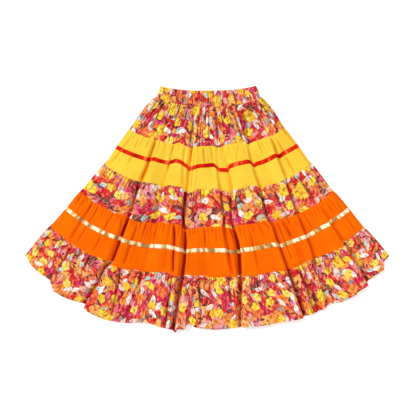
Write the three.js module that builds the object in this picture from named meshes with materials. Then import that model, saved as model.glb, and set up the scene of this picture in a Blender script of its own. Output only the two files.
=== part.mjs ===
// A tiered square dance skirt laid flat: an elastic waistband, five gathered tiers and two ribbons.
// Each front piece lies on its back piece. Millimetres, +Z up, the waist toward +Y, the floor at z = 0.
// The skirt is drawn as a fan: a place on it is an angle from straight down and a radius from the fan's
// centre. Rings (the seams and ribbons) run across the fan, and folds run along its radii.
import * as THREE from 'three';

const fanCentre = new THREE.Vector2(2.6, 452.5);
const wall = 1.2;
const bandWall = 2.8;
const ribbonWall = 1.0;
const gap = 0.3;
const redWidth = 9;
const goldWidth = 10.5;
const degree = Math.PI / 180;
const halfSpread = 39.6;

// Turns a table of rows into objects with named columns.
function named(columns, rows) {
  const object = (row) => Object.fromEntries(columns.map((column, index) => [column, row[index]]));
  return Object.fromEntries(Object.entries(rows).map(([name, row]) => [name, object(row)]));
}

// The rings from the waist to the hem. middle is the radius straight down; rise and fall bend the ring
// toward its sides; lean adds at the left side and takes off at the right; left and right are the angles
// of the skirt's two sides; low is the height of the front cloth where no fold lifts it; puff is the
// extra side angle, and swell the extra height, between this ring and the next.
const ringColumns = ['middle', 'rise', 'fall', 'lean', 'left', 'right', 'low', 'puff', 'swell'];
const rings = named(ringColumns, {
  waist: [143, 39, 0, 1.5, 44.4, 43.8, 4.5, 0, 0],
  bandSeam: [185.5, 28.1, 0, 0, 40.2, 39.5, 4.5, 1.9, 4],
  seam1: [291.5, 31.8, 6.6, 4, 41, 39.8, 8.5, 0, 2],
  red: [344, 39.8, 8, 4, 40.3, 39.5, 10, 0, 0],
  seam2: [405.5, 42.4, 13.3, 3, 39.3, 38.9, 8.5, 0.25, 2],
  seam3: [506.2, 34.5, 13.3, 4, 39.6, 38.8, 8.5, 0.2, 2],
  gold: [569.2, 34.5, 13.3, 2, 39.8, 39.2, 9.5, 0, 0],
  seam4: [637.3, 31.8, 13.3, 4, 39.9, 39.1, 8.5, 0.3, 1.5],
  hem: [773.8, 37.1, 55.7, 0, 39.9, 39.4, 6, 0, 0],
});
const ringOrder = Object.values(rings);
const usualRise = 0.4;
const gatherPull = 0.65;

// The front's folds, left to right. top, middle and hem are the fold's angle at seam 1, seam 3 and the
// hem. over says which side lies on top (1 the right side, -1 the left). step is how high that side
// stands, and lap how far it is pleated over the other. The fold grows from the radius start to the
// radius full, and dies away toward the radius end. slipTop and slipHem are how much further out the
// rings lie on its right side, and sag is how far the hem hangs in the panel after it.
const crispHalf = 6;
const softHalf = 8;
const lasting = 2000;
const dyingLength = 120;
const slipLength = 140;
const pleatRoundness = 0.6;
const foldColumns = [
  'top', 'middle', 'hem', 'over', 'step', 'lap', 'start', 'full', 'end', 'slipTop', 'slipHem', 'sag',
];
const foldTable = named(foldColumns, {
  leftCorner: [-37, -37, -32, 1, 6, 0, 640, 740, lasting, 0, 18, 3],
  leftOuter: [-25.9, -23.4, -24.1, 1, 14, 4.4, 150, 520, lasting, -4, 12, 13],
  leftMiddle: [-16.8, -15.6, -14.6, 1, 7, 0, 200, 450, lasting, -8, -9, 5],
  leftInner: [-9, -6.9, -6.4, 1, 14, 4.4, 190, 330, lasting, -6, -10, 3],
  centreLeft: [3.7, 3.8, 3.6, -1, 12, 3.4, 190, 330, 600, 7, 0, 0],
  centreRight: [7.8, 7.8, 6.6, 1, 15, 4.8, 190, 330, lasting, -9, 1, 3],
  rightInner: [18, 18.4, 18.3, -1, 13, 4, 200, 460, lasting, 10, -4, 0],
  rightShort: [22, 21.6, 21, -1, 7, 0, 640, 740, lasting, 0, 0, 2],
  rightOuter: [30.5, 26.7, 24, -1, 13, 4, 220, 480, lasting, 6, -4, 2],
  rightSide: [34.8, 32.6, 32.9, -1, 11, 3, 480, 640, lasting, 0, -14, 0],
  rightCorner: [37.4, 36.6, 37.4, -1, 6, 0, 640, 740, lasting, 0, -12, 0],
});
const folds = Object.values(foldTable);
folds.forEach((fold) => Object.assign(fold, { half: fold.lap > 0 ? crispHalf : softHalf }));

// The back lies on the floor with a few soft ridges: their angles, height and half width.
const ridges = [-29.5, -20.5, -3.6, 10.8, 29.2];
const ridgeHeight = 3.2;
const ridgeHalf = 15;
const backInset = 1.5;
const backShorter = 14;

// Between two folds a wide panel settles toward the back by a share of its height, and is a little arched.
const panelSettle = 0.4;
const panelArch = 2;
const widePanel = 90;
const sideRoll = 26;
const sideStart = 2 * wall + gap - wall / 2;
const ribbonLift = ribbonWall + gap;
const bandLift = bandWall / 2 - wall / 2;

// Where the columns of the faceted cloth stand, in a fold (-1 to 1) and in a panel (0 to 1).
const crispSteps = [-1, -0.65, -0.42, -0.2, 0.2, 0.42, 0.65, 1];
const softSteps = [-1, -0.35, 0.35, 1];
const sideSteps = [0, 0.3, 0.62];
const columnWidth = 46;

const colours = { floral: 0xd98868, yellow: 0xfbd545, orange: 0xfb7005, red: 0xd81808, gold: 0xd2a25c };

function ease(from, to, value) {
  return THREE.MathUtils.smoothstep(value, from, to);
}

function mix(from, to, share) {
  return from + (to - from) * share;
}

// A ring's radius at a share across the skirt, from -1 at its left side to 1 at its right.
function arcRadius(ring, across) {
  return ring.middle + ring.rise * across ** 2 - ring.fall * across ** 6 - ring.lean * across;
}

// The rings before and after a radius, and the share of the way between them. A ring's usual radius is
// that of the middle of each half.
function ringShare(radius) {
  const usual = (ring) => ring.middle + usualRise * ring.rise;
  const next = ringOrder.findIndex((ring, index) => index > 0 && radius < usual(ring));
  const to = next < 0 ? rings.hem : ringOrder[next];
  const from = ringOrder[ringOrder.indexOf(to) - 1];
  const share = (radius - usual(from)) / (usual(to) - usual(from));
  return { from, to, share: THREE.MathUtils.clamp(share, 0, 1) };
}

function sideAngle(radius, side) {
  const { from, to, share } = ringShare(radius);
  return mix(from[side], to[side], share) + from.puff * Math.sin(Math.PI * share ** gatherPull);
}

function lowHeight(radius) {
  const { from, to, share } = ringShare(radius);
  return mix(from.low, to.low, share) + from.swell * Math.sin(Math.PI * share ** gatherPull);
}

function foldAngle(fold, radius) {
  if (radius < rings.seam3.middle) {
    const share = (radius - rings.seam1.middle) / (rings.seam3.middle - rings.seam1.middle);
    return mix(fold.top, fold.middle, share);
  }
  const share = (radius - rings.seam3.middle) / (rings.hem.middle - rings.seam3.middle);
  return mix(fold.middle, fold.hem, share);
}

function foldStrength(fold, radius) {
  return ease(fold.start, fold.full, radius) * (1 - ease(fold.end - dyingLength, fold.end, radius));
}

function foldSlip(fold, radius) {
  const begun = ease(fold.start, fold.start + slipLength, radius);
  const down = ease(rings.seam2.middle, rings.hem.middle, radius);
  return begun * mix(fold.slipTop, fold.slipHem, down);
}

// How far a pleat's edge stands out from the middle of its fold.
function pleatReach(lap, half) {
  if (lap * Math.PI <= half) return 0;
  const turn = Math.acos(half / (lap * Math.PI));
  return lap * Math.sin(turn) - half * turn / Math.PI;
}

// The fold's cross-section: how far along (in mm) and how high (0 to 1) the cloth is at turn -1 to 1.
// With a lap the cloth turns back under the side on top, as in a pleat.
function foldAlong(fold, radius, turn) {
  const lap = fold.lap * foldStrength(fold, radius) ** 2;
  return fold.half * turn - lap * Math.sin(Math.PI * turn) + fold.over * pleatReach(lap, fold.half);
}

function foldRise(turn) {
  return (1 + turn) / 2 - pleatRoundness * Math.sin(2 * Math.PI * turn) / (4 * Math.PI);
}

function foldHeights(fold, radius) {
  const height = fold.step * foldStrength(fold, radius);
  return fold.over > 0 ? [0, height] : [height, 0];
}

// A place across the front: place 0 is its left side; from an even number to the next is a panel, and
// from an odd number to the next a fold.
function split(place) {
  const last = 2 * folds.length;
  const whole = Math.min(Math.floor(place), last);
  const inFold = whole % 2 === 1;
  return { inFold, index: inFold ? (whole - 1) / 2 : whole / 2, share: place - whole };
}

function edgeAngle(index, radius, turn) {
  if (index < 0) return -sideAngle(radius, 'left');
  if (index === folds.length) return sideAngle(radius, 'right');
  return foldAngle(folds[index], radius) + foldAlong(folds[index], radius, turn) / radius / degree;
}

function frontAngle(place, radius) {
  const { inFold, index, share } = split(place);
  if (inFold) return edgeAngle(index, radius, 2 * share - 1);
  return mix(edgeAngle(index - 1, radius, 1), edgeAngle(index, radius, -1), share);
}

function frontRadius(place, ring, middleRadius) {
  const { inFold, index, share } = split(place);
  const across = frontAngle(place, ring.middle) / halfSpread;
  const base = arcRadius(ring, THREE.MathUtils.clamp(across, -1, 1));
  if (inFold) return base + foldSlip(folds[index], middleRadius) * (foldRise(2 * share - 1) - 0.5);
  const leftSlip = index > 0 ? foldSlip(folds[index - 1], middleRadius) / 2 : 0;
  const rightSlip = index < folds.length ? -foldSlip(folds[index], middleRadius) / 2 : 0;
  const sag = index > 0 ? folds[index - 1].sag : 0;
  const hanging = sag * ease(rings.seam4.middle, rings.hem.middle, middleRadius);
  return base + mix(leftSlip, rightSlip, share) + hanging * Math.sin(Math.PI * share);
}

function frontHeight(place, radius, lift) {
  const low = lowHeight(radius);
  const { inFold, index, share } = split(place);
  if (inFold) {
    const [left, right] = foldHeights(folds[index], radius);
    return low + mix(left, right, foldRise(2 * share - 1));
  }
  const left = index > 0 ? foldHeights(folds[index - 1], radius)[1] : 0;
  const right = index < folds.length ? foldHeights(folds[index], radius)[0] : 0;
  const width = (edgeAngle(index, radius, -1) - edgeAngle(index - 1, radius, 1)) * degree * radius;
  const inside = Math.min(1, width / widePanel) * Math.sin(Math.PI * share);
  const settled = 1 - panelSettle * inside ** 2;
  const height = low + mix(left, right, ease(0, 1, share)) * settled + panelArch * inside;
  const fromSide = index === 0 ? share * width : index === folds.length ? (1 - share) * width : sideRoll;
  const rolled = Math.sin(Math.PI / 2 * Math.min(1, fromSide / sideRoll));
  return mix(sideStart + lift, height, rolled);
}

function onFan(angle, radius, height) {
  const x = fanCentre.x + radius * Math.sin(angle * degree);
  const y = fanCentre.y - radius * Math.cos(angle * degree);
  return new THREE.Vector3(x, y, height);
}

function frontPoint(place, radius, lift) {
  return onFan(frontAngle(place, radius), radius, frontHeight(place, radius, lift));
}

function backPoint(angle, radius, lift) {
  const ridge = Math.max(...ridges.map((middle) => {
    const away = Math.min(1, Math.abs(angle - middle) * degree * radius / ridgeHalf);
    return ridgeHeight * Math.cos(Math.PI / 2 * away) ** 2;
  }));
  const grown = ease(rings.bandSeam.middle, rings.seam2.middle, radius);
  return onFan(angle, radius, wall / 2 + lift + ridge * grown);
}

// The surface's direction out of the cloth at a point, from its neighbours along and across.
function outward(point, place, radius, limits) {
  const step = 0.004;
  const left = point(Math.max(limits[0], place - step), radius);
  const right = point(Math.min(limits[1], place + step), radius);
  const up = point(place, radius - 0.5);
  const down = point(place, radius + 0.5);
  return right.sub(left).cross(up.sub(down)).normalize();
}

// A closed wall from a grid of points: grid[row][column] holds the point and its outward direction.
// The wall reaches from the distance inner to the distance outer along that direction.
function wallGeometry(grid, inner, outer) {
  const rows = grid.length;
  const columns = grid[0].length;
  const positions = [];
  for (const distance of [inner, outer]) {
    for (const row of grid) {
      for (const { point, out } of row) {
        positions.push(...point.clone().addScaledVector(out, distance).toArray());
      }
    }
  }
  const corner = (side, row, column) => (side * rows + row) * columns + column;
  const indices = [];
  const quad = (a, b, c, d) => indices.push(a, b, c, a, c, d);
  for (let row = 0; row < rows - 1; row += 1) {
    for (let column = 0; column < columns - 1; column += 1) {
      quad(corner(1, row, column), corner(1, row + 1, column), corner(1, row + 1, column + 1),
        corner(1, row, column + 1));
      quad(corner(0, row, column), corner(0, row, column + 1), corner(0, row + 1, column + 1),
        corner(0, row + 1, column));
    }
    quad(corner(0, row, 0), corner(0, row + 1, 0), corner(1, row + 1, 0), corner(1, row, 0));
    const last = columns - 1;
    quad(corner(0, row, last), corner(1, row, last), corner(1, row + 1, last), corner(0, row + 1, last));
  }
  for (let column = 0; column < columns - 1; column += 1) {
    const bottom = rows - 1;
    quad(corner(0, 0, column), corner(1, 0, column), corner(1, 0, column + 1), corner(0, 0, column + 1));
    quad(corner(0, bottom, column), corner(0, bottom, column + 1), corner(1, bottom, column + 1),
      corner(1, bottom, column));
  }
  const geometry = new THREE.BufferGeometry();
  geometry.setAttribute('position', new THREE.Float32BufferAttribute(positions, 3));
  geometry.setIndex(indices);
  geometry.computeVertexNormals();
  return geometry;
}

// The front's columns: every fold's steps, and enough between them to round each panel.
function frontPlaces() {
  const places = [...sideSteps];
  folds.forEach((fold, index) => {
    const steps = fold.lap > 0 ? crispSteps : softSteps;
    places.push(...steps.map((turn) => 2 * index + 1 + (turn + 1) / 2));
    const next = index + 1 < folds.length ? folds[index + 1].middle : rings.seam3.right;
    const width = (next - fold.middle) * degree * rings.seam4.middle;
    const inside = Math.max(1, Math.round(width / columnWidth) - 1);
    if (index + 1 === folds.length) return;
    for (let step = 1; step <= inside; step += 1) {
      places.push(2 * index + 2 + step / (inside + 1));
    }
  });
  places.push(...sideSteps.map((share) => 2 * folds.length + 1 - share).reverse());
  return places;
}

// The back's columns, as angles: three on each ridge, the sides and the middles between them.
function backAngles(radius) {
  const inset = backInset / radius / degree;
  const half = ridgeHalf / radius / degree;
  const ends = [-sideAngle(radius, 'left') + inset, sideAngle(radius, 'right') - inset];
  const stops = [ends[0]];
  for (const middle of ridges) stops.push(middle - half, middle, middle + half);
  stops.push(ends[1]);
  return stops.flatMap((stop, index) => {
    const next = stops[index + 1];
    return index % 3 === 0 && next !== undefined ? [stop, mix(stop, next, 0.5)] : [stop];
  });
}

// A row of a piece: the ring it follows, how far past that ring it lies, how much what is under the back
// cloth lifts it there, and the share of the way to the next ring.
function row(ring, shift = 0, lift = 0, next = ring, share = 0) {
  return { ring, shift, lift, next, share };
}

function rowRadius(spec, ringRadius) {
  return mix(ringRadius(spec.ring), ringRadius(spec.next), spec.share) + spec.shift;
}

function frontGrid(rows) {
  const places = frontPlaces();
  const limits = [0, 2 * folds.length + 1];
  return rows.map((spec) => places.map((place) => {
    const middle = mix(spec.ring.middle, spec.next.middle, spec.share);
    const radius = rowRadius(spec, (ring) => frontRadius(place, ring, middle));
    const point = (where, distance) => frontPoint(where, distance, spec.lift);
    return { point: point(place, radius), out: outward(point, place, radius, limits) };
  }));
}

function backGrid(rows) {
  return rows.map((spec) => {
    const sideRadius = rowRadius(spec, (ring) => arcRadius(ring, 1));
    return backAngles(sideRadius).map((angle) => {
      const shorter = (ring) => (ring === rings.hem ? backShorter : 0);
      const radius = rowRadius(spec, (ring) => arcRadius(ring, angle / halfSpread) - shorter(ring));
      return { point: backPoint(angle, radius, spec.lift), out: new THREE.Vector3(0, 0, 1) };
    });
  });
}

// The waistband's grid is a flat strip of the fan, its sides a little closer at the top.
function bandGrid(height) {
  const columns = 17;
  return [rings.waist, rings.bandSeam].map((ring) => {
    const shift = ring === rings.bandSeam ? -gap / 2 : 0;
    return Array.from({ length: columns }, (_, column) => {
      const across = mix(-1, 1, column / (columns - 1));
      const angle = across * (across < 0 ? ring.left : ring.right);
      const point = onFan(angle, arcRadius(ring, across) + shift, height);
      return { point, out: new THREE.Vector3(0, 0, 1) };
    });
  });
}

const half = gap / 2 + 0.05;
const puffed = (ring, next, share) => row(ring, 0, 0, next, share);
const ribbonRows = (ring, width) => [row(ring, -width / 2, ribbonLift), row(ring, width / 2, ribbonLift)];
const tiers = [
  { name: 'tier_1', colour: colours.floral,
    rows: [row(rings.bandSeam, half, bandLift), puffed(rings.bandSeam, rings.seam1, 0.3),
      row(rings.seam1, -half)] },
  { name: 'tier_2', colour: colours.yellow,
    rows: [row(rings.seam1, half), ...ribbonRows(rings.red, redWidth), row(rings.seam2, -half)] },
  { name: 'tier_3', colour: colours.floral,
    rows: [row(rings.seam2, half), puffed(rings.seam2, rings.seam3, 0.4), row(rings.seam3, -half)] },
  { name: 'tier_4', colour: colours.orange,
    rows: [row(rings.seam3, half), ...ribbonRows(rings.gold, goldWidth), row(rings.seam4, -half)] },
  { name: 'tier_5', colour: colours.floral,
    rows: [row(rings.seam4, half), puffed(rings.seam4, rings.hem, 0.45), row(rings.hem)] },
];
const ribbons = [
  { name: 'ribbon_red', colour: colours.red, rows: ribbonRows(rings.red, redWidth) },
  { name: 'ribbon_gold', colour: colours.gold, rows: ribbonRows(rings.gold, goldWidth) },
];

function piece(name, geometry, colour, roughness = 0.85, metalness = 0) {
  const material = new THREE.MeshStandardMaterial({ color: colour, roughness, metalness });
  const mesh = new THREE.Mesh(geometry, material);
  mesh.name = name;
  return mesh;
}

const skirt = new THREE.Group();
for (const { name, rows, colour } of tiers) {
  skirt.add(piece(`${name}_front`, wallGeometry(frontGrid(rows), -wall / 2, wall / 2), colour));
  skirt.add(piece(`${name}_back`, wallGeometry(backGrid(rows), -wall / 2, wall / 2), colour));
}
const ribbonInner = wall / 2 + gap;
const ribbonOuter = ribbonInner + ribbonWall;
for (const { name, rows, colour } of ribbons) {
  const metalness = name === 'ribbon_gold' ? 0.5 : 0;
  const front = wallGeometry(frontGrid(rows), ribbonInner, ribbonOuter);
  const back = wallGeometry(backGrid(rows), -ribbonOuter, -ribbonInner);
  skirt.add(piece(`${name}_front`, front, colour, 0.35, metalness));
  skirt.add(piece(`${name}_back`, back, colour, 0.35, metalness));
}
const bandMiddle = bandWall / 2;
const frontBand = bandGrid(bandWall + gap + bandMiddle);
skirt.add(piece('waistband_front', wallGeometry(frontBand, -bandMiddle, bandMiddle), colours.floral));
const backBand = bandGrid(bandMiddle);
skirt.add(piece('waistband_back', wallGeometry(backBand, -bandMiddle, bandMiddle), colours.floral));

export default skirt;
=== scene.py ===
"""A tiered square dance skirt laid flat: the cloth, print, ribbons and light over the packed frame.

The cloth is drawn as a fan, as the solids are: a place on it is an angle from straight down and a
radius from the fan's centre, in degrees and millimetres. Rings run across the fan and folds run along
its radii. The folds and rings are those of the solids; the gathers, creases and print come on top.
"""
import math
from types import SimpleNamespace

import bpy
import numpy as np
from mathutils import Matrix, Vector

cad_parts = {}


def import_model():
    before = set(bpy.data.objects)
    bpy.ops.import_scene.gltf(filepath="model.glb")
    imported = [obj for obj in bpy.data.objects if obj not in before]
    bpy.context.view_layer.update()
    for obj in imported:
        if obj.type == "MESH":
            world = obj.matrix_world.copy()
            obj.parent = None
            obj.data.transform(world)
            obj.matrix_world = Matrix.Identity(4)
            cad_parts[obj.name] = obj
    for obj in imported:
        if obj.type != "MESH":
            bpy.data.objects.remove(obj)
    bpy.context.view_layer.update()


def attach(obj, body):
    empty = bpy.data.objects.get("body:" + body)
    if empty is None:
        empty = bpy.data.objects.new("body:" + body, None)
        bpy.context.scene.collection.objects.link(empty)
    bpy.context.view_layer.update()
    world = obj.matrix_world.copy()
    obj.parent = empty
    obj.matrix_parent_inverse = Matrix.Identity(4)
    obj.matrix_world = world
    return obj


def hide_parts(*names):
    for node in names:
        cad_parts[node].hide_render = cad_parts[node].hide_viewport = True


TURN = 2 * math.pi
DEGREE = math.pi / 180
MILLIMETRE = 0.001
FAN_CENTRE = (2.6, 452.5)
HALF_SPREAD = 39.6
# The walls of the solids, the gap inside the band, and half the cloth and band drawn in them.
WALL = 1.2
BAND_WALL = 2.8
BAND_GAP = 0.3
CLOTH_HALF = WALL / 2 - 0.1
BAND_HALF = 0.7
RIBBON_WALL = 0.8
RIBBON_GAP = 0.15
RIM_ROUNDING = 0.3


def named(columns, rows):
    """Turns a table of rows into objects with named columns."""
    names = columns.split()
    return {key: SimpleNamespace(**dict(zip(names, row))) for key, row in rows.items()}


# The rings from the waist to the hem. middle is the radius straight down; rise and fall bend the ring
# toward its sides; lean adds at the left side and takes away at the right; left and right are the angles
# of the skirt's sides; low is the height of the front cloth; puff widens the sides, and swell lifts the
# cloth, up to the next ring.
RINGS = named("middle rise fall lean left right low puff swell", {
    "waist": (143, 39, 0, 1.5, 44.4, 43.8, 4.5, 0, 0),
    "band_seam": (185.5, 28.1, 0, 0, 40.2, 39.5, 4.5, 1.9, 4),
    "seam_1": (291.5, 31.8, 6.6, 4, 41, 39.8, 8.5, 0, 2),
    "red": (344, 39.8, 8, 4, 40.3, 39.5, 10, 0, 0),
    "seam_2": (405.5, 42.4, 13.3, 3, 39.3, 38.9, 8.5, 0.25, 2),
    "seam_3": (506.2, 34.5, 13.3, 4, 39.6, 38.8, 8.5, 0.2, 2),
    "gold": (569.2, 34.5, 13.3, 2, 39.8, 39.2, 9.5, 0, 0),
    "seam_4": (637.3, 31.8, 13.3, 4, 39.9, 39.1, 8.5, 0.3, 1.5),
    "hem": (773.8, 37.1, 55.7, 3, 39.9, 39.4, 6, 0, 0),
})
# A ring's usual radius takes in this share of its rise, and a bulge between two rings leans to the upper.
USUAL_RISE = 0.4
BULGE_PULL = 0.65

# The front's folds, left to right. top, middle and hem are the fold's angle at seam 1, seam 3 and the
# hem. over says which side lies on top (1 the right side, -1 the left), step how high it stands and lap
# how far it is pleated over. The fold grows from the radius start to full, and dies away toward end.
# slip_top and slip_hem are how much further out the rings lie on its right, and sag how far the hem
# hangs in the panel after it.
LASTING = 2000
FOLD_ROWS = named("top middle hem over step lap start full end slip_top slip_hem sag", {
    "left_corner": (-37, -37, -32, 1, 6, 0, 640, 740, LASTING, 0, 18, 3),
    "left_outer": (-25.9, -23.4, -24.1, 1, 14, 3.6, 150, 520, LASTING, -4, 12, 13),
    "left_middle": (-16.8, -15.6, -14.6, 1, 7, 0, 200, 450, LASTING, -8, -9, 5),
    "left_inner": (-9, -6.9, -6.4, 1, 14, 4.4, 190, 330, LASTING, -6, -10, 3),
    "centre_left": (3.7, 3.8, 3.6, -1, 12, 3.4, 190, 470, 600, 7, 0, 0),
    "centre_right": (7.8, 7.8, 6.6, 1, 15, 4.8, 190, 450, LASTING, -9, 1, 3),
    "right_inner": (18, 18.4, 18.3, -1, 13, 2.9, 200, 460, LASTING, 10, -4, 0),
    "right_short": (22, 21.6, 21, -1, 7, 0, 640, 740, LASTING, 0, 0, 2),
    "right_outer": (30.5, 26.7, 24, -1, 13, 2.2, 220, 480, LASTING, 6, -4, 2),
    "right_side": (34.8, 32.6, 32.9, -1, 11, 2, 480, 640, LASTING, 0, -14, 0),
    "right_corner": (37.4, 36.6, 37.4, -1, 6, 0, 640, 740, LASTING, 0, -12, 0),
})
FOLDS = list(FOLD_ROWS.values())
for fold_name, fold_row in FOLD_ROWS.items():
    fold_row.name = fold_name
# Half the width of a pleated and of a soft fold, and the lengths over which a fold dies and slips.
CRISP_HALF = 6
SOFT_HALF = 8
DYING_LENGTH = 120
SLIP_LENGTH = 140
PLEAT_ROUNDNESS = 0.6
# The gathers that a pleat loses, the cloth that it takes up, and the distances over which it does so.
PLEAT_CALM = 0.75
PLEAT_CLOTH = 2.2
PLEAT_OPENS = (5, 70)
# How far a panel sinks from its straight line and arches, if it is this wide.
PANEL_SETTLE = 0.4
PANEL_ARCH = 2
WIDE_PANEL = 90
# The front rolls down to the back at its sides: over this width, to this height.
SIDE_ROLL = 26
SIDE_START = 2.0

# The back's ridges, by angle, and how far its sides and hem lie inside the front's.
RIDGES = (-29.5, -20.5, -3.6, 10.8, 29.2)
RIDGE_HEIGHT = 3.2
RIDGE_HALF = 15
BACK_INSET = 2.2
BACK_SHORTER = 14
# The back's share of the front's gathers, the most that they rise, and how much further on its seeds are.
BACK_GATHERS = 0.6
BACK_RISE = 1.6
BACK_SEED = 500
# The back lies higher over its ribbon, until these distances from the ribbon's edge, and next to the
# thicker band, over this length.
RIBBON_ROOM = 1.3
RIBBON_EASE = (0.5, 9)
BAND_EASE = 20
FRONT_ABOVE_BACK = WALL + 0.5

# The slit along the low side of each pleated fold: the radii where its depth is given, and the depth.
SLITS = {
    "left_outer": ((240, 0), (300, 2.4), (410, 4.2), (450, 6), (500, 5.5), (530, 3.8), (560, 5),
        (590, 3.6), (640, 3.2), (670, 6)),
    "left_inner": ((240, 0), (300, 2.6), (410, 2.6), (440, 5), (500, 5), (530, 5.5), (650, 6.5),
        (680, 7)),
    "centre_left": ((240, 0), (300, 0.8), (410, 0.6), (430, 5), (500, 5), (560, 4), (610, 0)),
    "centre_right": ((240, 0), (300, 1.2), (410, 0.8), (430, 5), (500, 5), (530, 6.5), (650, 6.5),
        (680, 7)),
    "right_inner": ((240, 0), (300, 2.2), (410, 3), (440, 6), (500, 6), (530, 3.8), (640, 3), (680, 4.5)),
    "right_outer": ((240, 0), (300, 2.2), (410, 3.5), (440, 5), (500, 4.5), (540, 2), (660, 1.6),
        (710, 1)),
    "right_side": ((420, 0), (450, 2.5), (540, 2.5), (640, 2), (680, 4)),
}
# How far a slit lies from its fold, how steep its near side and how round its open side is, where the
# bank stands on the open side and its share of the depth. Over these distances under a seam, a slit
# still changes from the shape that it has in the tier above.
SLIT_AWAY = 3.0
SLIT_STEEP = 2.2
SLIT_CURVE = 1.3
BANK_SLOPES = 2.3
BANK_SHARE = 0.5
SLIT_CHANGE = (3, 28)
# How far each fold strays from its line, in degrees, at the radii given: folds shift a little at seams.
SWAYS = {
    "left_outer": ((305, -0.7), (350, 0), (385, 0.3), (420, 0), (450, -0.4), (500, -0.2), (530, 0),
        (570, 0.35), (605, 0.6), (645, 0.85), (670, -0.1), (720, -0.1), (780, -0.6)),
    "left_inner": ((300, 0.9), (400, 0.2), (480, -0.4), (515, 0.3), (545, 0.8), (600, 1), (640, 0.8),
        (700, 0.3), (775, -0.2)),
    "centre_left": ((300, -0.5), (330, -0.2), (370, -0.3), (400, 0), (480, 0.6), (515, 0.2), (570, 1.1),
        (620, 1.7)),
    "centre_right": ((295, -0.1), (370, 1.1), (400, 1.2), (430, 0.2), (490, -0.6), (515, 0.1), (545, 0.8),
        (570, 1), (640, 0.7), (700, 0.3), (770, -0.2)),
    "right_inner": ((305, 1.3), (370, 0.1), (415, 0.1), (435, -0.5), (500, -1.1), (525, -0.2), (645, 0),
        (770, 0.3)),
    "right_outer": ((310, 0.8), (360, 0.5), (420, 0.3), (440, -0.7), (510, -0.35), (620, 0), (690, -0.4)),
    "right_side": ((440, -0.6), (490, -0.1), (530, 0.4), (650, 0.25), (700, 0.2), (760, -0.2)),
    "left_corner": ((700, 0), (775, -0.6)),
}

# How far each ring strays outward from its even line, in millimetres, at the angles given.
DRIFTS = {
    "band_seam": ((-40, 0), (40, 0)),
    "seam_1": ((-36, 1), (-28, -3), (-22, 0), (-16, -6), (-12, 0), (-7, 3), (0, 0), (16, 0), (18.5, 7),
        (22, 3), (28, 1), (32, 4), (37, 0)),
    "red": ((-37, 2), (-33, 0), (-28, -2), (-22, -4), (-17, -6), (-13, -8), (-10, -1), (-7.5, 10),
        (-5, 3), (2, 0), (3.5, 7), (8.5, 9), (12, 4), (17, 2), (21, 8), (25, 6), (30, 2), (37, 1)),
    "seam_2": ((-31, 0), (-22, 0), (-20, -5), (-16, -1), (-13, -3), (-10, -5), (-8.5, 4), (-6, 9),
        (-4, 2), (2, 0), (6, 0), (8, 8), (12, 8), (15, 3), (18.5, 10), (23, 8), (27.5, 9), (29, 3),
        (33, 4), (37, 0)),
    "seam_3": ((-36, 2), (-28, 3), (-25, -1), (-22, 7), (-20, 5), (-17.5, -3), (-13, -1), (-9, -8),
        (-7, 9), (-4, 5), (-2, 0), (3, 1), (5, -2), (8, 4), (10, 2), (14, 4), (16, 1), (20, 5), (25, 9),
        (28, 4), (33, 5), (37, 2)),
    "gold": ((-37, 0), (-30, 4), (-25, 5), (-20, 1), (-16, -1), (-14.5, 3), (-11, -4), (-7, -3),
        (-5.5, 4), (-3, 0), (4, 0), (7, 3), (11, 5), (17, 4), (19, 9), (26, 8), (30, 1), (37, 1)),
    "seam_4": ((-37, -4), (-33, -1), (-28, 5), (-20, 4), (-16, -4), (-14.5, 4), (-11, -5), (-8, -2),
        (-2, 0), (2, 3), (8, 1), (11, 8), (14, 4), (19, 10), (21, 9), (23, 3), (29, 3), (34, 3),
        (37, -1)),
    "hem": ((-40, 0), (-38, 3), (-34, -3), (-31, -3), (-26, -2), (-24, 3), (-22, -2), (-18.5, -5),
        (-15, 2), (-11.5, -5), (-8, 0), (-7.3, 3), (-3, -3), (1, 2.5), (5, 1), (11, 0), (14, -2), (18, 5),
        (22, 2), (27, 0), (31, -2), (33, 1), (35, -2), (37, -1), (39, -1)),
}
# Short stretches of the hem that hang lower or higher than their panel, from one angle to another, how
# softly they start and end, and the radii over which they grow.
HEM_DROPS = ((-6.9, -4.6, 8), (-4.5, -3.4, -6), (-14.8, -13, 4), (21.7, 25.6, -4), (30, 32.6, -3))
DROP_EASE = 0.3
DROP_RADII = (690, 770)

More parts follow.
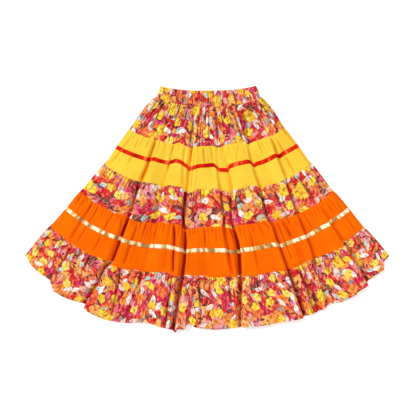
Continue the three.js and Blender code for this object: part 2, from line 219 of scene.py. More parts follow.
# The main creases of each front tier: a soft trough's half width and depth, and the angles and radii
# that it runs through. A low bank stands along each side of it.
CREASES = {
    "tier_1": (
        (3, 6, (-38.9, 200), (-38.6, 265)), (3, 6, (-35.2, 200), (-32.8, 255), (-32, 295)),
        (3, 6, (-29.5, 200), (-26.6, 255), (-25.8, 300)), (2.5, 4, (-22, 195), (-22.5, 250)),
        (2.5, 4, (-17, 190), (-16, 240)), (3, 6, (-11.5, 190), (-10.5, 240), (-10, 300)),
        (2.5, 5, (-7, 210), (-6.8, 285)), (2.5, 4, (-2, 190), (-2.5, 250)),
        (2.5, 5, (5, 190), (5.3, 270)), (2.5, 4, (9, 190), (8.5, 250)), (2.5, 4, (15.3, 190), (16, 240)),
        (2.5, 4.5, (18, 190), (17.8, 300)), (3, 5.5, (24.2, 200), (23.3, 245), (21, 285)),
        (2.5, 4, (28, 200), (29.5, 270)), (2.5, 4.5, (32, 200), (31.2, 300)),
        (2.5, 4.5, (37.5, 210), (37.8, 270)),
    ),
    "tier_2": (
        (3.5, 4.5, (-27.3, 290), (-26.5, 340), (-25.5, 385), (-25.3, 430)),
        (2.5, 3.5, (-19.8, 290), (-19.2, 325)), (2.5, 3.5, (-17.9, 290), (-17.8, 335)),
        (3, 3.5, (-17.2, 335), (-17, 380)),
        (3, 3, (-12.4, 285), (-11.9, 320), (-10.8, 370), (-10, 395), (-9.6, 425)),
        (2.5, 2.5, (-7, 290), (-6.7, 430)), (2.5, 4, (19.8, 300), (19.2, 330), (18.5, 365)),
        (2.5, 3, (-2.9, 290), (-1.4, 345)), (2.5, 2.5, (-34.6, 320), (-33.3, 365)),
        (2.5, 2.5, (-32.6, 375), (-32.3, 405)), (2.5, 3, (-30.1, 305), (-29.3, 345)),
        (3, 2.5, (-37.7, 340), (-37.6, 425)), (2.5, 3, (1.1, 285), (2, 335)),
        (2.5, 2.5, (14.8, 300), (12.3, 340)), (2.5, 3, (24.8, 300), (25, 345)),
        (2, 2.5, (26.4, 305), (26.1, 345)), (3.5, 6, (31.6, 300), (31, 335), (29.4, 380), (28.4, 430)),
        (2.5, 3, (33.4, 320), (33.2, 375)), (2.5, 2.5, (32.6, 375), (32.2, 430)),
    ),
    "tier_3": (
        (3, 6, (-25.7, 430), (-24.7, 475)), (2.5, 4, (-22.9, 425), (-22.7, 450)),
        (2.5, 3, (-35.5, 440), (-35.2, 480)), (2.5, 3, (-31.5, 440), (-31.2, 490)),
        (3, 6.5, (-8.7, 400), (-8.2, 460), (-7.6, 500)), (2.5, 4, (-5.5, 420), (-5.3, 480)),
        (2.5, 3, (-12.5, 405), (-11.5, 470)), (2.5, 4.5, (9.2, 430), (9.4, 485)),
        (2.5, 3, (13, 410), (12.8, 450)), (2.5, 4.5, (22.9, 440), (23, 490)),
        (3, 6, (32.3, 430), (32.6, 520)), (2.5, 3.5, (35.5, 440), (35.6, 480)),
    ),
    "tier_4": (
        (2.2, 4, (-25.9, 515), (-24.9, 560)), (2.5, 3, (-28.7, 540), (-28.4, 590)),
        (2.5, 2.5, (-28.3, 600), (-28.3, 650)), (3, 3, (-34.9, 535), (-34.6, 600), (-34.4, 655)),
        (2.5, 2.5, (-32.9, 530), (-32.6, 650)), (2.5, 2.5, (-37.2, 540), (-37, 600)),
        (3, 3.5, (-20.7, 515), (-20.4, 645)), (2.2, 3, (-18.4, 510), (-18.2, 545)),
        (2.2, 3.5, (-15.4, 505), (-15.1, 560)), (2.2, 2.5, (-13.4, 500), (-13.1, 540)),
        (4, 7.5, (-10.6, 500), (-9.9, 525), (-9.6, 545), (-9.1, 600), (-8.7, 625), (-8.5, 650)),
        (2.2, 3.5, (-9.2, 500), (-8.4, 535)), (2.5, 3, (-5.2, 570), (-5, 640)),
        (2.2, 3.5, (-1.3, 500), (-0.9, 560)), (2.2, 3, (2, 500), (2.2, 545)),
        (3.5, 6.5, (5, 560), (5.3, 600), (5.7, 625), (5.9, 650)), (2.2, 3.5, (6, 500), (7.2, 545)),
        (2.2, 3, (9.2, 505), (9, 545)), (2.5, 2.5, (11.9, 530), (12.1, 625)),
        (2.2, 4, (17, 515), (17.9, 550)), (2.5, 3.5, (20.2, 520), (20.3, 565), (20.4, 640)),
        (2.5, 4.5, (21.8, 520), (22.3, 580)), (2.2, 3, (24.6, 520), (24.9, 560)),
        (2.5, 4, (28.1, 520), (28.4, 585)), (2.2, 3, (31, 530), (31.1, 570)),
        (2.2, 3, (35.1, 530), (35.4, 575)), (2.5, 3, (37.6, 560), (37, 650)),
    ),
    "tier_5": (
        (2.5, 5, (-38.9, 650), (-38.7, 705)), (2.5, 4, (-35.5, 650), (-35.4, 700)),
        (3, 5, (-33.2, 650), (-32.9, 750)), (2.2, 4, (-31.6, 655), (-31.3, 695)),
        (2.5, 5, (-28.7, 645), (-28.2, 700)), (2.2, 4, (-26.9, 650), (-26.8, 690)),
        (3, 5.5, (-21, 640), (-20.1, 700), (-19.2, 785)), (2.5, 4, (-17, 650), (-16.8, 700)),
        (3, 3.5, (-15.6, 640), (-16.2, 700), (-16.5, 775)),
        (4, 6.5, (-8.9, 630), (-8.6, 690), (-8.8, 730), (-8.5, 790)),
        (2.5, 4.5, (-5.1, 630), (-5.2, 700)), (3.5, 5.5, (-2.3, 640), (-2, 700), (-1.5, 765)),
        (2.5, 4.5, (4.4, 630), (4.8, 710)), (2.5, 3.5, (11, 640), (11.3, 705)),
        (2.5, 3.5, (13.1, 640), (13.4, 690)), (2.5, 4, (15.4, 640), (15.6, 695)),
        (3, 5.5, (20.9, 640), (21.3, 700), (20.8, 790)), (2.5, 4.5, (24.4, 640), (24.2, 700)),
        (2.5, 4.5, (27, 645), (27.2, 705)), (2.5, 4, (30.6, 650), (30.9, 700)),
        (2.5, 4.5, (36.2, 645), (36.3, 710)),
    ),
}
# How round a trough is, its banks' share of its depth and their distance in half widths, and where it
# opens and closes, from its first and last radius.
CREASE_CURVE = 1.4
CREASE_BANK = 0.3
CREASE_BANK_AWAY = 2.6
CREASE_OPENS = np.array((-4, 10))
CREASE_CLOSES = np.array((-18, 6))

# The gathers under each seam: the distance between two, the least and greatest half width as a share of
# it, their depth and length down the tier, and the long soft waves that they run out into.
GATHERS = named("spacing narrow wide depth length wave wave_depth seed", {
    "tier_1": (5.8, 0.13, 0.23, 9, 150, 46, 1.2, 11),
    "tier_2": (12, 0.24, 0.42, 3.3, 62, 60, 1.6, 22),
    "tier_3": (9, 0.15, 0.28, 4.6, 62, 60, 1.3, 33),
    "tier_4": (10, 0.17, 0.34, 5.2, 52, 62, 1.9, 44),
    "tier_5": (8.5, 0.15, 0.28, 4.8, 54, 80, 1.3, 55),
    "shirring": (4.4, 0.17, 0.28, 2.6, 400, 30, 0.1, 77),
})
# How far a gather strays as a share of the spacing, how far it slants, and its shares of the depth and
# length; then the number of waves, their shares of the usual length, their slant and their height.
GATHER_STRAY = 0.4
GATHER_SLANT = 0.06
GATHER_DEPTHS = (0.35, 1.0)
GATHER_LENGTHS = (0.3, 1.3)
GATHER_SHARPNESS = 1.5
WAVES = 5
WAVE_LENGTHS = (0.6, 1.8)
WAVE_SLANT = 0.004
WAVE_SHARE = 0.4
# Gathers and creases fade in over this distance from a tier's sides.
SIDE_CALM = 12

# The tiers: the rings that each runs through, its front's cut before it is gathered (width and depth in
# metres), where its front starts along the bolt in metres, the distance between its columns, its material
# and slot, and its slits: their share of the depth in SLITS, and how far their open side slopes.
TIERS = named("rings cut bolt_start column_step material slot slit_share slit_slope", {
    "tier_1": (("band_seam", "seam_1"), (0.54, 0.106), 55.3, 0.65, "floral", "floral", 0.7, 4),
    "tier_2": (("seam_1", "red", "seam_2"), (0.675, 0.113), 0.0, 0.95, "yellow", "yellow", 0.5, 5),
    "tier_3": (("seam_2", "seam_3"), (0.85, 0.102), 12.3, 0.9, "floral", "floral", 0.6, 6.5),
    "tier_4": (("seam_3", "gold", "seam_4"), (1.1, 0.130), 0.0, 0.95, "orange", "orange", 1.15, 7.5),
    "tier_5": (("seam_4", "hem"), (1.45, 0.139), 60.1, 1.05, "floral_hem", "floral", 0.7, 8),
})
TIER_NAMES = list(TIERS)
# Each ribbon's colour, which also names its ring, and its width.
RIBBONS = {"tier_2": ("red", 10.0), "tier_4": ("gold", 10.5)}
# A tier's upper edge is tucked under the tier above, and its lower edge laps over the seam. How far
# each goes and dips, and the distance from the seam over which the dip ends.
TUCK = 2.6
TUCK_DIP = 1.9
TUCK_LENGTH = 4.5
OVERLAP = 1.0
EDGE_DIP = 1.1
EDGE_LENGTH = 4
# The puff under a seam: its height, where it is full, and where it sinks.
PUFF = 2.4
PUFF_FULL = 8
PUFF_SINKS = (12, 48)
# The gathers' share of their depth at the upper and lower seam, and how far from the seams they, the
# creases and the slits grow.
HELD_TOP = 0.25
HELD_LOW = 0.3
HELD_OPENS = (-2, 8)
SEAM_REACH = 14
CREASE_OPENS_UNDER = (-1, 13)
SLIT_REACH = 3

# Where a tier has rows: down from its upper edge, up from its lower edge, and between the two.
TOP_ROWS = np.array((0, 1.2, 2.6, 4.2, 6.2, 9, 12.5))
LOW_ROWS = np.array((0, 1.2, 3, 5.5))
ROW_STEP = 5.8
ROW_MARGINS = (5, 2.5)
# A ribbon's rows, and how far off the next row lies at least.
RIBBON_ROWS = 5
RIBBON_MARGIN = 1
CRISP_COLUMNS = 30
SOFT_COLUMNS = 14
BACK_COLUMN_STEP = 2.6
# How hollows are found, for the shade painted into folds and gathers: the columns to each side, the depth
# that counts as a whole hollow, and the most.
HOLLOW_SCALES = ((5, 2.2, 0.72), (16, 5.5, 1.0))

# The waistband: its front's cut and its start along the bolt in metres, its length, how far it stops
# above its seam, its grid, its calmer sides and edges, and its rows of stitching.
BAND_CUT = (0.42, 0.042)
BAND_BOLT_START = 9.9
BAND_LENGTH = 262
BAND_STOP = 0.2
BAND_ROWS = 30
BAND_COLUMNS = 360
BAND_SIDE_CALM = 8
BAND_EDGE_GATHERS = 0.55
BAND_EDGE_CURVE = 0.4
BAND_DEEPEST = 2.1
SHIRR_ROWS = (0.07, 0.36, 0.66, 0.93)
SHIRR_HALF = 0.035
SHIRR_DIP = 0.35

# The print's layers, from the lowest up. Each has the motif's kind, the size of the cells that it is
# scattered in, its seed and how many of the cells keep it. A leaf goes on with its half length and half
# width, its colours and its veins' colour. A flower has its radius, petals, their depth, its colours, its
# lines' colour and its heart's. Sizes are in metres from here on.
PRINT_LAYERS = (
    ("leaf", 0.028, 1, 1.0, 0.0205, 0.0140, ("EE7C3A", "DC3034", "E8687E", "D8342E", "F2A656"), "B8442E"),
    ("flower", 0.047, 3, 0.78, 0.0225, 5, 0.3, ("D42A4C", "DE2E28", "F09AA0", "DC3A30"), "A81434", "B01832"),
    ("flower", 0.044, 11, 0.62, 0.0190, 5, 0.28, ("F48E3A", "F9B65C", "EE7240"), "DC6A28", "DC6228"),
    ("leaf", 0.030, 4, 0.6, 0.0150, 0.0078, ("F59A48", "F2B4A0", "E23A34"), "C44E20"),
    ("leaf", 0.026, 2, 0.4, 0.0125, 0.0062, ("E83C78", "F2A060", "C01E3A"), "9C2430"),
    ("leaf", 0.026, 9, 0.36, 0.0085, 0.0032, ("6A2A28", "7A5A54", "8A2A2E"), "3A1416"),
    ("leaf", 0.034, 6, 0.34, 0.0112, 0.0062, ("BEDED8", "B0CCC4", "9C9088", "C0D8D4"), "8EA49C"),
    ("leaf", 0.038, 5, 0.56, 0.0152, 0.0068, ("FDF6F0", "FBEFE6", "F6DCD0"), "CDA090"),
    ("flower", 0.043, 7, 0.6, 0.0120, 5, 0.22, ("FADC3C", "F8CC30", "FBE060"), "EEA428", "F0A82A"),
    ("flower", 0.090, 8, 0.36, 0.0190, 13, 0.22, ("FBDA3C", "F9CE36"), "E8A428", "F0B42C"),
)
OUTLINE = "8E3434"
OUTLINE_SHARE = 0.3
# How far motifs stray in their cells, and how far each layer's seed moves the cells.
SCATTER = 0.85
SEED_STEP = (0.37, 0.61)
# How the print wanders, along and down the cloth: the size of the bends, and how far they reach.
WANDER = ((0.02, 0.006), (0.024, -0.005))
# The patches in the ground, the dark and pale brush marks over the print, and the shade painted on it in
# hollows.
GROUND = 0.004
BRUSH = 0.006
DARK_BRUSH = 0.62
PALE_BRUSH = 0.38
PRINT_SHADE = 0.95
# A leaf's point, midrib, slanted side veins and darker half, and the strength of its lines.
LEAF_POINT = 1.7
MIDRIB = (0.0007, 0.0003)
VEIN_SPACING = 0.0034
VEIN_SLANT = 0.9
VEIN_EDGE = (0.55, 0.95)
VEIN_SHARE = 0.55
HALF_SHADE = 0.2
LEAF_LINES = 0.45
# A flower's swirl, outward and round, the strength of its lines, and its heart's soft edge.
SWIRL = (12, 2)
FLOWER_LINES = 0.3
HEART_EDGE = (0.3, 0.1)
# The threads, stitches and patches of the cloths, ribbons and floor, with the sizes of the red ribbon's
# painted sheen and the gold ribbon's painted shine.
COTTON_THREAD = 0.0006
SLUB = 0.0015
STITCH = 0.003
STITCH_EDGE = (0.0008, 0.0002)
STITCH_HEIGHT = 3.0
GROOVE_EDGE = (0.002, 0.0006)
GROOVE_DEPTH = 2.0
HEM_STITCH = 0.1312
PATCH = 0.06
DYED_THREAD = 0.0012
RED_RIB = 0.0009
RED_SHEEN = 0.016
GOLD_THREAD = 0.0011
GOLD_GLINT = 0.0012
GOLD_PAINTED_SHINE = 0.014
PAPER_GRAIN = 0.01

FLOOR_REACH = 6.0
FLOOR_DROP = 0.0002
# The floor glows a little: painted light that lightens the skirt's shadow on it.
FLOOR_SHADOW_GLOW = 0.29
SKY = (1.0, 0.99, 0.98, 1.0)
SKY_STRENGTH = 0.6
# Each light's name, the side that it comes from, its spread in degrees and its strength.
LIGHTS = (("key", (-2.1, 1.6, 2.9), 24, 2.0), ("fill", (1.6, -1.0, 3.2), 70, 0.5))
# The camera's lens and sensor in millimetres, and the width that it sees at this height above the floor.
LENS = 135
SENSOR = 36
VIEW_WIDTH = 1.1024
VIEW_HEIGHT = 0.010
VIEW_MIDDLE = (0.0, -0.002)


def ease(start, end, value):
    """0 where the value is at start and 1 where it is at end, with a soft step between."""
    share = np.clip((value - start) / (end - start), 0, 1)
    return share * share * (3 - 2 * share)


def stretch(value, opens, open_at, closes, closed_at):
    """1 along a stretch of values and 0 beyond it, with a soft step at each end."""
    return ease(opens, open_at, value) * (1 - ease(closes, closed_at, value))


def mix(start, end, share):
    return start + (end - start) * share


def read(rows, place):
    """A table's second column at a place in its first, in straight lines between its rows."""
    places, values = np.array(rows).T
    return np.interp(place, places, values)


def arc_radius(ring, across):
    """A ring's radius at a share across the skirt, from -1 at its left side to 1 at its right."""
    return ring.middle + ring.rise * across**2 - ring.fall * across**6 - ring.lean * across


def rows_before(lines, places):
    """The number of the line before each place, where the last line has none after it."""
    return np.clip(np.searchsorted(lines, places, side="right") - 1, 0, len(lines) - 2)


def ring_value(radius, column, bulge):
    """A ring column's value at any radius, with the bulge column's rise between two rings."""
    usual = np.array([ring.middle + USUAL_RISE * ring.rise for ring in RINGS.values()])
    values, bulges = (np.array([getattr(ring, key) for ring in RINGS.values()]) for key in (column, bulge))
    before = rows_before(usual, radius)
    share = np.clip((radius - usual[before]) / (usual[before + 1] - usual[before]), 0, 1)
    rise = bulges[before] * np.sin(np.pi * share**BULGE_PULL)
    return mix(values[before], values[before + 1], share) + rise


def side_angle(radius, side):
    return ring_value(radius, side, "puff")


def between_rings(rings, arcs, middles):
    """The radius at each middle radius: between the rings' arcs, and as far past the outer two."""
    lines = np.array([ring.middle for ring in rings])
    inside = np.clip(middles, lines[0], lines[-1])
    before = rows_before(lines, inside[:, 0])
    steps = (inside[:, 0] - lines[before]) / (lines[before + 1] - lines[before])
    arcs = np.array(arcs)
    return mix(arcs[before], arcs[before + 1], steps[:, None]) + (middles - inside)


def drift(angle, middles):
    """How far the cloth strays outward with the rings, between one ring's line and the next."""
    lines = [RINGS[name].middle for name in DRIFTS]
    total = np.zeros(angle.shape)
    for rows, own in zip(DRIFTS.values(), np.eye(len(DRIFTS))):
        total += np.interp(middles, lines, own) * read(rows, angle)
    return total


def fold_angle(fold, radius):
    seam_1, seam_3, hem = (RINGS[name].middle for name in ("seam_1", "seam_3", "hem"))
    upper = (radius - seam_1) / (seam_3 - seam_1)
    lower = (radius - seam_3) / (hem - seam_3)
    line = np.where(upper < 1, mix(fold.top, fold.middle, upper), mix(fold.middle, fold.hem, lower))
    return line + read(SWAYS[fold.name], radius) if fold.name in SWAYS else line


def fold_strength(fold, radius):
    return stretch(radius, fold.start, fold.full, fold.end - DYING_LENGTH, fold.end)


def fold_slip(fold, middle):
    """How much further out the cloth lies on the right of a fold than on its left."""
    begun = ease(fold.start, fold.start + SLIP_LENGTH, middle)
    down = ease(RINGS["seam_2"].middle, RINGS["hem"].middle, middle)
    return begun * mix(fold.slip_top, fold.slip_hem, down)


def pleat_reach(lap, half):
    """How far a pleat's edge stands out from the middle of its fold."""
    turn = np.arccos(np.clip(half / np.maximum(lap * np.pi, 1e-6), -1, 1))
    reach = lap * np.sin(turn) - half * turn / np.pi
    return np.where(lap * np.pi > half, reach, 0)


def fold_along(fold, radius, turn):
    """How far across its fold a place lies. turn runs from -1 at its left edge to 1 at its right."""
    lap = fold.lap * fold_strength(fold, radius) ** 2
    half = CRISP_HALF if fold.lap > 0 else SOFT_HALF
    return half * turn - lap * np.sin(np.pi * turn) + fold.over * pleat_reach(lap, half)


def fold_rise(turn):
    return (1 + turn) / 2 - PLEAT_ROUNDNESS * np.sin(2 * np.pi * turn) / (4 * np.pi)


def fold_heights(fold, radius):
    """The heights of the panels to the left and right of a fold."""
    height = fold.step * fold_strength(fold, radius)
    return (0 * height, height) if fold.over > 0 else (height, 0 * height)


def edge_angle(index, radius, turn):
    """The angle in a fold, by its number from the left, or at the skirt's side past the outer folds."""
    if index < 0:
        return -side_angle(radius, "left")
    if index == len(FOLDS):
        return side_angle(radius, "right")
    fold = FOLDS[index]
    return fold_angle(fold, radius) + fold_along(fold, radius, turn) / radius / DEGREE


def part_angle(part, share, radius):
    """The angle at a share across a part: an even part is a panel, an odd one a fold."""
    index = part // 2
    if part % 2:
        return edge_angle(index, radius, 2 * share - 1)
    return mix(edge_angle(index - 1, radius, 1), edge_angle(index, radius, -1), share)


def part_radius(part, share, middles, rings):
    """The radius at a share across a part, for each middle radius: folds slip and panels sag."""
    across = [np.clip(part_angle(part, share, ring.middle) / HALF_SPREAD, -1, 1) for ring in rings]
    base = between_rings(rings, [arc_radius(*pair) for pair in zip(rings, across)], middles)
    index = part // 2
    if part % 2:
        return base + fold_slip(FOLDS[index], middles) * (fold_rise(2 * share - 1) - 0.5)
    left = fold_slip(FOLDS[index - 1], middles) / 2 if index > 0 else 0
    right = -fold_slip(FOLDS[index], middles) / 2 if index < len(FOLDS) else 0
    sag = FOLDS[index - 1].sag if index > 0 else 0
    hanging = sag * ease(RINGS["seam_4"].middle, RINGS["hem"].middle, middles)
    return base + mix(left, right, share) + hanging * np.sin(np.pi * share)


def part_height(part, share, radius):
    """The height at a share across a part, before its gathers and creases."""
    low = ring_value(radius, "low", "swell")
    index = part // 2
    if part % 2:
        left, right = fold_heights(FOLDS[index], radius)
        return low + mix(left, right, fold_rise(2 * share - 1))
    left = fold_heights(FOLDS[index - 1], radius)[1] if index > 0 else 0
    right = fold_heights(FOLDS[index], radius)[0] if index < len(FOLDS) else 0
    width = (edge_angle(index, radius, -1) - edge_angle(index - 1, radius, 1)) * DEGREE * radius
    inside = np.minimum(1, width / WIDE_PANEL) * np.sin(np.pi * share)
    settled = 1 - PANEL_SETTLE * inside**2
    height = low + mix(left, right, ease(0, 1, share)) * settled + PANEL_ARCH * inside
    from_side = SIDE_ROLL
    if index == 0:
        from_side = share * width
    if index == len(FOLDS):
        from_side = (1 - share) * width
    rolled = np.sin(np.pi / 2 * np.minimum(1, from_side / SIDE_ROLL))
    return mix(SIDE_START, height, rolled)


def on_fan(angle, radius, height):
    x = FAN_CENTRE[0] + radius * np.sin(angle * DEGREE)
    y = FAN_CENTRE[1] - radius * np.cos(angle * DEGREE)
    return np.stack([x, y, height + 0 * x], axis=-1)


def surface_normals(points):
    """The direction out of a grid of points whose rows run down the cloth and columns to the right."""
    normals = np.cross(np.gradient(points, axis=1), -np.gradient(points, axis=0))
    return normals / np.linalg.norm(normals, axis=-1, keepdims=True)


def gathers(along, down, spec):
    """The small valleys under a seam, and the long soft waves that they run out into."""
    random = np.random.default_rng(spec.seed)
    total = np.zeros(np.broadcast(along, down).shape)
    for place in np.arange(0, along.max() + spec.spacing, spec.spacing):
        centre = place + spec.spacing * random.uniform(-GATHER_STRAY, GATHER_STRAY)
        width = spec.spacing * random.uniform(spec.narrow, spec.wide)
        depth = spec.depth * random.uniform(*GATHER_DEPTHS)
        length = spec.length * random.uniform(*GATHER_LENGTHS)
        slant = random.uniform(-GATHER_SLANT, GATHER_SLANT)
        away = (along - centre - slant * down) / width
        total -= depth * (1 - ease(0, 1, down / length)) / (1 + away**2) ** GATHER_SHARPNESS
    for _ in range(WAVES):
        wave = spec.wave * random.uniform(*WAVE_LENGTHS)
        phase = random.uniform(0, TURN) + WAVE_SLANT * random.uniform(-1, 1) * down
        total += spec.wave_depth * WAVE_SHARE * np.sin(TURN * along / wave + phase)
    return total


def creases(name, angle, radius):
    """The height of a tier's main creases at each angle and radius."""
    total = np.zeros(angle.shape)
    for width, depth, *path in CREASES[name]:
        angles, radii = np.array(path).T
        away = np.abs(angle - np.interp(radius, radii, angles)) * DEGREE * radius / width
        open_here = stretch(radius, *(radii[0] + CREASE_OPENS), *(radii[-1] + CREASE_CLOSES))
        bank = CREASE_BANK * np.exp(-((away - CREASE_BANK_AWAY) ** 2))
        total -= depth * open_here * (np.exp(-(away**CREASE_CURVE)) - bank)
    return total


def slits(name, angle, radius, down):
    """The height of a tier's slits and banks, along the low side of each pleated fold."""
    tier = TIERS[name]
    above = TIERS[TIER_NAMES[max(0, TIER_NAMES.index(name) - 1)]]
    own = ease(*SLIT_CHANGE, down)
    total = np.zeros(angle.shape)
    for fold_name, rows in SLITS.items():
        fold = FOLD_ROWS[fold_name]
        away = -fold.over * (angle - fold_angle(fold, radius)) * DEGREE * radius - SLIT_AWAY
        open_side = np.maximum(0, away) / mix(above.slit_slope, tier.slit_slope, own)
        steep_side = np.minimum(0, away) / SLIT_STEEP
        bank = BANK_SHARE * np.exp(-((open_side - BANK_SLOPES) ** 2))
        depth = mix(above.slit_share, tier.slit_share, own) * read(rows, radius)
        total += depth * (bank - np.exp(-(open_side**SLIT_CURVE) - steep_side**2))
    return total


def hollows(points):
    """How far each place lies in a fold or gather, from 0 to 1, which the materials paint as shade: its
    depth under the places beside it.
    """
    deepest = np.zeros(points.shape[:2])
    for reach, depth, most in HOLLOW_SCALES:
        padded = np.pad(points[..., 2], ((0, 0), (reach + 1, reach)), mode="edge")
        sums = np.cumsum(padded, axis=1)
        mean = (sums[:, 2 * reach + 1:] - sums[:, :-2 * reach - 1]) / (2 * reach + 1)
        deepest = np.maximum(deepest, np.minimum(most, (mean - points[..., 2]) / depth))
    return np.clip(deepest, 0, 1)


def print_places(points, down, cut, pleated=0):
    """The cloth's own coordinates. Each row holds the whole cut, so gathers and folds take up print."""
    steps = np.linalg.norm(np.diff(points, axis=1), axis=-1)
    taken_up = PLEAT_CLOTH * pleated * ease(*PLEAT_OPENS, down)
    steps = steps * (1 + np.broadcast_to(taken_up, points.shape[:2])[:, 1:])
    along = np.concatenate([np.zeros((len(points), 1)), np.cumsum(steps, axis=1)], axis=1)
    along *= cut[0] / MILLIMETRE / along[:, -1:]
    return np.stack(np.broadcast_arrays(along, down), axis=-1)


def tier_rows(name):
    """The middle radii of a tier's rows: close together at its seams and on its ribbon's edges."""
    upper, lower = (RINGS[TIERS[name].rings[end]].middle for end in (0, -1))
    near_top = upper - TUCK + TOP_ROWS
    near_bottom = lower + (0 if name == "tier_5" else OVERLAP) - LOW_ROWS
    between = np.arange(near_top[-1] + ROW_MARGINS[0], near_bottom[-1] - ROW_MARGINS[1], ROW_STEP)
    rows = np.concatenate([near_top, between, near_bottom])
    if name in RIBBONS:
        colour, width = RIBBONS[name]
        middle = RINGS[colour].middle
        edges = middle + np.linspace(-width / 2, width / 2, RIBBON_ROWS)
        rows = np.concatenate([rows[np.abs(rows - middle) > width / 2 + RIBBON_MARGIN], edges])
    return np.sort(rows)[:, None]


def front_parts(middle, step):
    """The parts across the front, each with the shares of its columns."""
    last = 2 * len(FOLDS)
    for part in range(last + 1):
        if part % 2:
            count = CRISP_COLUMNS if FOLDS[part // 2].lap > 0 else SOFT_COLUMNS
        else:
            width = part_angle(part, 1, middle) - part_angle(part, 0, middle)
            count = max(4, int(float(width) * DEGREE * middle / step))
        yield part, np.linspace(0, 1, count, endpoint=part == last)


def front_form(tier, middles):
    """The angles, radii and heights of a front tier's folds and panels, and how far each is pleated."""
    rings = [RINGS[ring] for ring in tier.rings]
    columns = []
    for part, share in front_parts(rings[-1].middle, tier.column_step):
        radius = part_radius(part, share, middles, rings)
        calm = PLEAT_CALM if part % 2 and FOLDS[part // 2].lap > 0 else 0
        pleated = np.broadcast_to(calm * np.sin(np.pi * share), radius.shape)
        columns.append((part_angle(part, share, radius), radius, part_height(part, share, radius), pleated))
    return (np.concatenate(grid, axis=1) for grid in zip(*columns))


def along_tier(base):
    """The distance along a tier's lower edge, and a share that grows from 0 at the sides to 1."""
    steps = np.linalg.norm(np.diff(base[-1], axis=0), axis=-1)
    along = np.concatenate([[0], np.cumsum(steps)])[None, :]
    return along, np.minimum(1, np.minimum(along, along[:, -1:] - along) / SIDE_CALM)


def hem_radius(angle, radius):
    """The hem tier's radius, with the stretches that hang lower or higher."""
    for start, end, drop in HEM_DROPS:
        ends = (start - DROP_EASE, start + DROP_EASE, end - DROP_EASE, end + DROP_EASE)
        radius = radius + drop * stretch(angle, *ends) * ease(*DROP_RADII, radius)
    return radius


def front_tier(name):
    """A front tier's grid: its points, their directions out of the cloth, and its cloth coordinates."""
    tier = TIERS[name]
    middles = tier_rows(name)
    angle, radius, height, pleated = front_form(tier, middles)
    radius = radius + drift(angle, middles)
    if name == "tier_5":
        radius = hem_radius(angle, radius)
    down = middles - RINGS[tier.rings[0]].middle
    up = RINGS[tier.rings[-1]].middle - middles
    dip = TUCK_DIP * (1 - ease(-TUCK, TUCK_LENGTH, down))
    held = mix(HELD_TOP, 1, ease(*HELD_OPENS, down))
    crease = creases(name, angle, radius) * ease(*CREASE_OPENS_UNDER, down)
    if name != "tier_5":
        dip = dip + EDGE_DIP * (1 - ease(-OVERLAP, EDGE_LENGTH, up))
        held = held * mix(HELD_LOW, 1, ease(-OVERLAP, SEAM_REACH, up))
        crease = crease * ease(-OVERLAP, CREASE_OPENS_UNDER[1], up)
    puff = PUFF * stretch(down, 0, PUFF_FULL, *PUFF_SINKS)
    base = on_fan(angle, radius, height + puff - dip)
    along, side = along_tier(base)
    relief = gathers(along, np.maximum(down, 0), GATHERS[name]) * (1 - pleated) * side * held
    points = base + surface_normals(base) * relief[..., None]
    points[..., 2] += (crease + slits(name, angle, radius, down)) * side * ease(-TUCK, SLIT_REACH, down)
    points[..., 2] = np.maximum(points[..., 2], back_height(angle, radius) + FRONT_ABOVE_BACK)
    return points, surface_normals(points), print_places(points, down, tier.cut, pleated)


def back_height(angle, radius):
    """The height of the back cloth, with its long low ridges."""
    ridge = np.zeros(angle.shape)
    for middle in RIDGES:
        away = np.minimum(1, np.abs(angle - middle) * DEGREE * radius / RIDGE_HALF)
        ridge = np.maximum(ridge, RIDGE_HEIGHT * np.cos(np.pi / 2 * away) ** 2)
    return WALL / 2 + ridge * ease(RINGS["band_seam"].middle, RINGS["seam_2"].middle, radius)


def back_tier(name):
    """A back tier's grid. It lies on the floor, so its gathers are valleys that rise from the floor."""
    tier = TIERS[name]
    rings = [RINGS[ring] for ring in tier.rings]
    middles = tier_rows(name)
    share = np.linspace(-1, 1, int(2 * HALF_SPREAD * DEGREE * rings[-1].middle / BACK_COLUMN_STEP))

    def radius_at(across):
        arcs = [arc_radius(ring, across) - (BACK_SHORTER if ring is RINGS["hem"] else 0) for ring in rings]
        return between_rings(rings, arcs, middles)

    side_radius = radius_at(np.ones(1))
    inset = BACK_INSET / side_radius / DEGREE
    left = -side_angle(side_radius, "left") + inset
    right = side_angle(side_radius, "right") - inset
    angle = mix(left, right, (share + 1) / 2)
    radius = radius_at(share)
    down = middles - rings[0].middle
    lift = 0 * down
    if name in RIBBONS:
        colour, width = RIBBONS[name]
        away = np.abs(middles - RINGS[colour].middle) - width / 2
        lift = RIBBON_ROOM * (1 - ease(*RIBBON_EASE, away))
    if name == "tier_1":
        lift = (BAND_WALL - WALL) / 2 * (1 - ease(0, BAND_EASE, down))
    points = on_fan(angle, radius, back_height(angle, radius) + lift)
    along, side = along_tier(points)
    spec = SimpleNamespace(**vars(GATHERS[name]))
    spec.seed += BACK_SEED
    spec.wave_depth = 0
    relief = -BACK_GATHERS * gathers(along, np.maximum(down, 0), spec)
    points[..., 2] += np.minimum(relief, BACK_RISE) * side
    return points, surface_normals(points), print_places(points, down, tier.cut)


